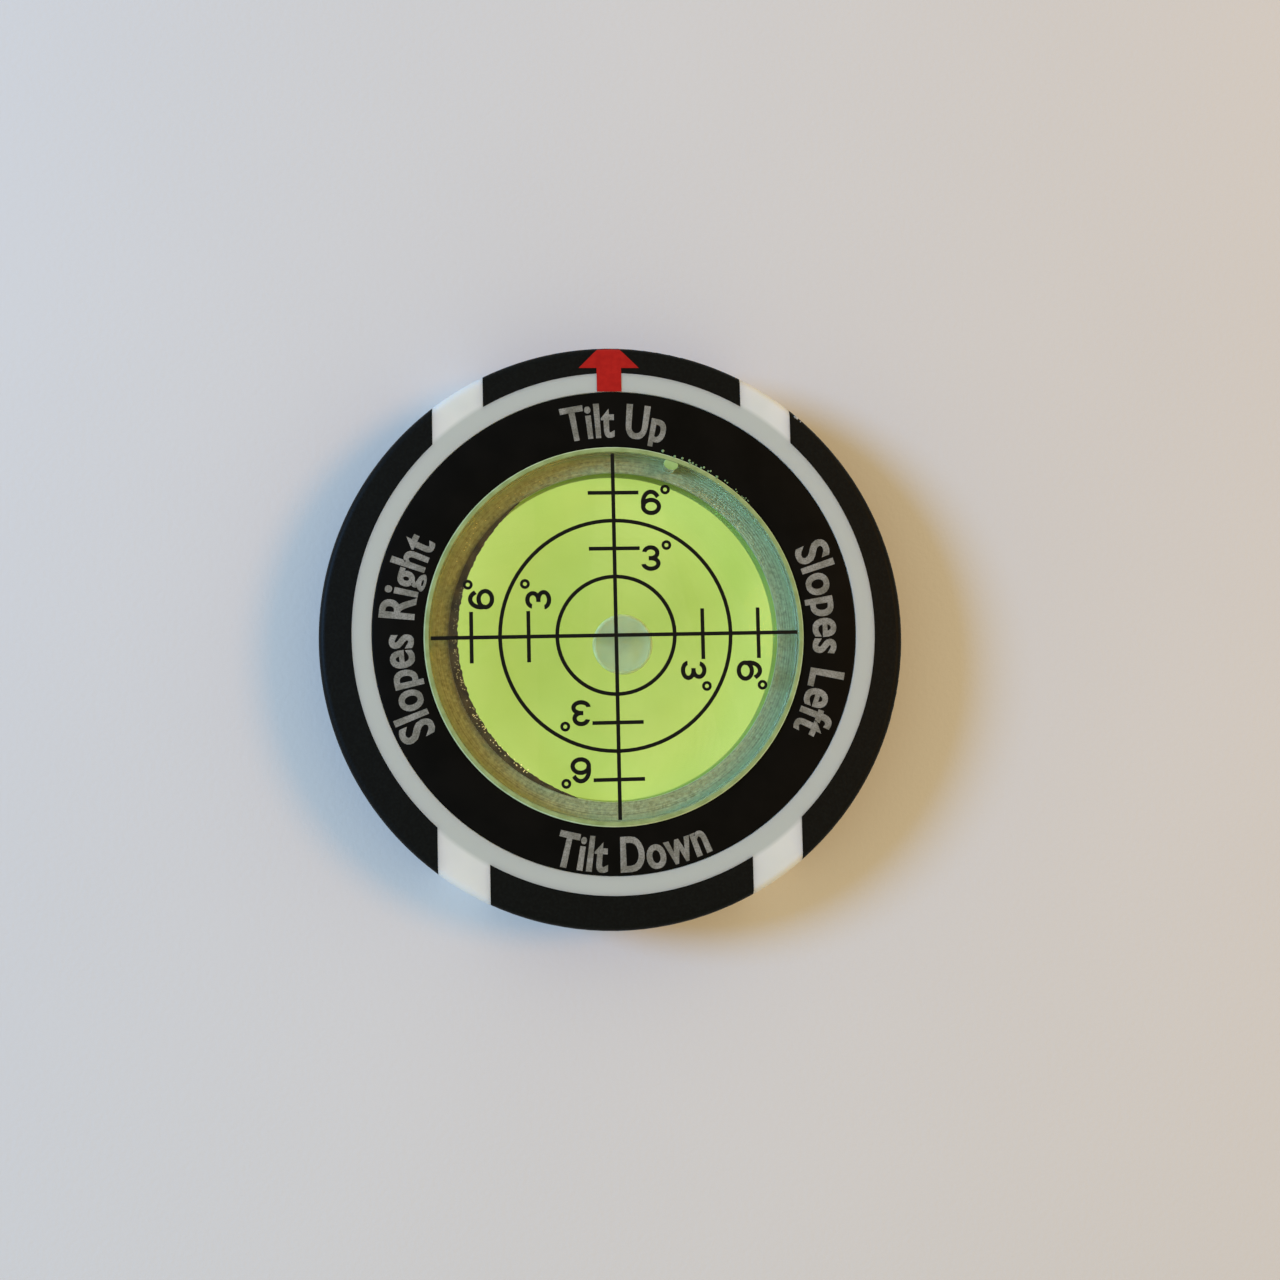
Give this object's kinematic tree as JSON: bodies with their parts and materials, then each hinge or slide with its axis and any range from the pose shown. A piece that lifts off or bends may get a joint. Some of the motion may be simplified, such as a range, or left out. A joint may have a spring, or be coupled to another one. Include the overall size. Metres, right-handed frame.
{
  "type": "golf ball marker with slope level",
  "caption": "Round poker-chip style golf ball marker with a bull's-eye bubble level under a graduated lens, direction ring and uphill arrow.",
  "frame": {"origin": "centre of the flat underside", "axes": "+Z out of the reading face, +Y towards the uphill arrow, +X to the right when read"},
  "size_m": [0.04, 0.04, 0.0062],
  "materials": {
    "white_abs": "moulded, slightly translucent satin",
    "black_abs": "moulded with a fine grain",
    "black_inlay": "smooth printed matte",
    "red_ink": "screen-printed ink",
    "white_film": "matt white reflecting film",
    "clear_glue": "cured clear adhesive",
    "clear_acrylic": "polished cast acrylic, satin wall",
    "plug_resin": "cured resin",
    "black_ink": "screen-printed ink",
    "green_liquid": "fluorescent yellow-green liquid",
    "air": "air bubble"
  },
  "bodies": {
    "marker": {"chip_body": "white_abs", "edge_band_up": "black_abs", "edge_band_down": "black_abs", "edge_band_left": "black_abs", "edge_band_right": "black_abs", "face_ring": "black_inlay", "back_ring": "black_inlay", "uphill_arrow": "red_ink", "reflector_disc": "white_film", "vial_glue": "clear_glue", "vial_cup": "clear_acrylic", "lens_cement": "clear_glue", "fill_plug": "plug_resin", "vial_lens": "clear_acrylic", "crosshair": "black_ink", "inner_circle": "black_ink", "outer_circle": "black_ink", "degree_ticks": "black_ink", "three_numerals": "black_ink", "six_numerals": "black_ink", "degree_signs": "black_ink"},
    "liquid": {"level_liquid": "green_liquid"},
    "bubble": {"air_bubble": "air"}
  },
  "joints": [
    {"name": "liquid_swirl", "type": "hinge", "parent": "marker", "child": "liquid", "pos_m": [0, 0, 0.0035], "axis": [0, 0, 1], "continuous": true},
    {"name": "bubble_travel", "type": "hinge", "parent": "liquid", "child": "bubble", "pos_m": [0, 0, -0.06846], "axis": [0.766, 0.6428, 0], "range_deg": [-7.6, 6.4], "stiffness_Nm_per_rad": 0.0001}
  ]
}
